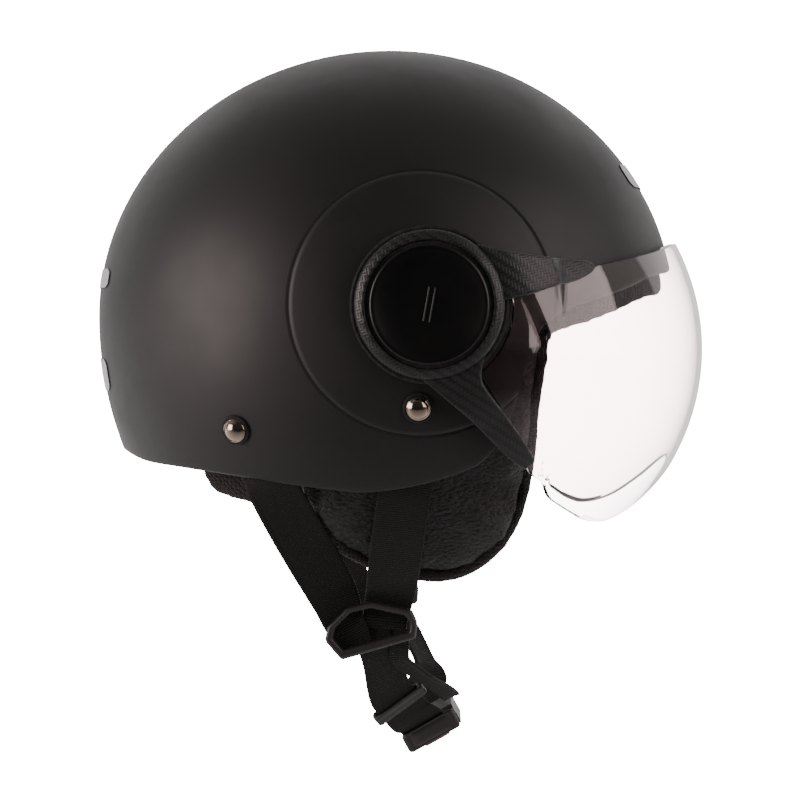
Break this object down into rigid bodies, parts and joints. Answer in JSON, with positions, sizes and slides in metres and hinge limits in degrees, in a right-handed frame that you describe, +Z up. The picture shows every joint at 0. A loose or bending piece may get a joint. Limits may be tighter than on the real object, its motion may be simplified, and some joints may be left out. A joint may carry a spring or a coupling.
{
  "type": "open face motorcycle helmet",
  "caption": "Open face motorcycle helmet: matte black shell, lifting clear bubble visor on Y-shaped arms, padded lining and a chin strap with a ratchet buckle.",
  "frame": {"origin": "on the visor's pivot axis where it crosses the middle plane, inside the head cavity", "axes": "+X forward, +Y to the wearer's left along the visor's pivot axis, +Z up"},
  "size_m": [0.2939, 0.266, 0.3392],
  "materials": {
    "shell_paint": "matte black lacquer on a moulded thermoplastic shell",
    "foam": "bead foam, dark grey",
    "lining": "brushed black comfort cloth",
    "mesh_cloth": "open brown-black spacer mesh",
    "leatherette": "grained black leatherette",
    "plastic": "moulded black plastic",
    "steel": "zinc plated steel",
    "cap_plastic": "satin black",
    "lens": "clear polycarbonate with a faint pink tint",
    "carbon": "satin black with a moulded twill weave",
    "rivet_chrome": "polished dome",
    "washer_rubber": "black seat washer",
    "webbing": "ribbed black polyester webbing",
    "buckle_plastic": "black acetal",
    "lever_plastic": "black acetal",
    "red_ribbon": "red woven ribbon",
    "tongue_plastic": "black toothed acetal",
    "decal": "pale grey reflective film"
  },
  "bodies": {
    "root": {"outer_shell": "shell_paint", "eps_liner": "foam", "comfort_liner": "lining", "brow_band": "mesh_cloth", "neck_roll": "lining", "nape_pad_right": "mesh_cloth", "nape_pad_left": "mesh_cloth", "cheek_pad_right": "leatherette", "cheek_pad_left": "leatherette", "cheek_piping_right": "mesh_cloth", "cheek_piping_left": "mesh_cloth", "pivot_plate_right": "plastic", "pivot_plate_left": "plastic", "pivot_hub_right": "plastic", "pivot_hub_left": "plastic", "pivot_screws": "steel", "pivot_nuts": "steel", "wave_washer_right": "steel", "wave_washer_left": "steel", "strap_rivets": "rivet_chrome", "rivet_washers": "washer_rubber", "strap_anchor_plates": "steel", "front_strap_right": "webbing", "front_strap_left": "webbing", "rear_strap_right": "webbing", "rear_strap_left": "webbing", "strap_slider_right": "buckle_plastic", "strap_slider_left": "buckle_plastic", "chin_strap_right": "webbing", "chin_strap_left": "webbing", "buckle_body": "buckle_plastic", "lever_pin": "steel", "lever_spring": "steel", "front_decal": "decal", "rear_decals": "decal"},
    "visor": {"visor_lens": "lens", "visor_arm_right": "carbon", "visor_arm_left": "carbon", "visor_screws": "steel"},
    "cap_right": {"pivot_cap_right": "cap_plastic"},
    "cap_left": {"pivot_cap_left": "cap_plastic"},
    "lever": {"buckle_lever": "lever_plastic", "buckle_pull_tab": "red_ribbon"},
    "tongue": {"ratchet_tongue": "tongue_plastic"},
    "adjuster": {"strap_adjuster": "buckle_plastic"}
  },
  "joints": [
    {"name": "visor_lift", "type": "hinge", "parent": "root", "child": "visor", "pos_m": [0, 0, 0], "axis": [0, -1, 0], "range_deg": [0, 58]},
    {"name": "cap_turn_right", "type": "hinge", "parent": "root", "child": "cap_right", "pos_m": [0, -0.13, 0], "axis": [0, -1, 0], "range_deg": [0, 90]},
    {"name": "cap_turn_left", "type": "hinge", "parent": "root", "child": "cap_left", "pos_m": [0, 0.13, 0], "axis": [0, 1, 0], "range_deg": [0, 90]},
    {"name": "lever_lift", "type": "hinge", "parent": "root", "child": "lever", "pos_m": [0.00211, 0.008, -0.20583], "axis": [0.8721, 0, 0.4894], "range_deg": [0, 35], "stiffness_Nm_per_rad": 0.02, "springref_deg": -5.73},
    {"name": "tongue_slide", "type": "slide", "parent": "root", "child": "tongue", "axis": [0, 1, 0], "range_m": [0, 0.022], "deforming": ["chin_strap_left"]},
    {"name": "adjuster_slide", "type": "slide", "parent": "root", "child": "adjuster", "axis": [0.4692, 0.599, -0.6489], "range_m": [-0.004, 0.004]}
  ]
}
